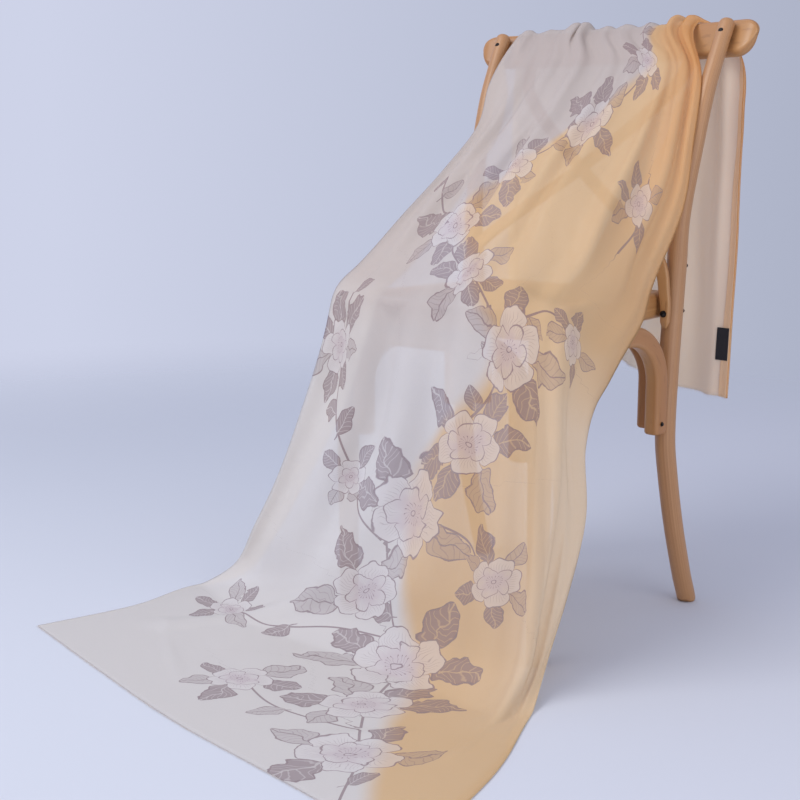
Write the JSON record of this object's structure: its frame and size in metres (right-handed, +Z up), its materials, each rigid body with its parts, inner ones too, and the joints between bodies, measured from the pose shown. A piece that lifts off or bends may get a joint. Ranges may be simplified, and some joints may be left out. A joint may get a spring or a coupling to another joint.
{
  "type": "cashmere shawl on a cross-back chair",
  "caption": "Printed rectangular shawl draped over the rail and seat of a bentwood cross-back chair, its lower end trailing on the floor.",
  "frame": {"origin": "centre of the underside of the whole box, on the floor", "axes": "+Z up; a sitter would face -Y, towards the end of the shawl on the floor; +X is the chair's side that is nearer in the picture"},
  "size_m": [0.822, 0.9616, 0.8766],
  "materials": {
    "cashmere": "soft matte weave with an all-over printed ground",
    "label": "plain woven tape",
    "beech": "satin lacquer",
    "cane": "woven cane",
    "black_steel": "dark oxide"
  },
  "bodies": {
    "root": {"shawl_floor_trail": "cashmere", "shawl_front_fall": "cashmere", "shawl_slope": "cashmere", "shawl_over_rail": "cashmere", "shawl_tail": "cashmere", "shawl_label": "label", "rear_leg_near": "beech", "rear_leg_far": "beech", "front_leg_near": "beech", "front_leg_far": "beech", "top_rail": "beech", "cross_strip_a": "beech", "cross_strip_b": "beech", "seat_ring": "beech", "seat_cane": "cane", "arch_near": "beech", "arch_far": "beech", "arch_front": "beech", "arch_rear": "beech", "arch_screw_near": "black_steel", "arch_screw_far": "black_steel", "strip_screw_near": "black_steel", "strip_screw_far": "black_steel", "post_bolt_near": "black_steel", "post_bolt_far": "black_steel", "rail_nut_near": "black_steel", "rail_nut_far": "black_steel", "leg_nut_high_near": "black_steel", "leg_nut_high_far": "black_steel", "leg_nut_low_near": "black_steel", "leg_nut_low_far": "black_steel"}
  },
  "joints": []
}
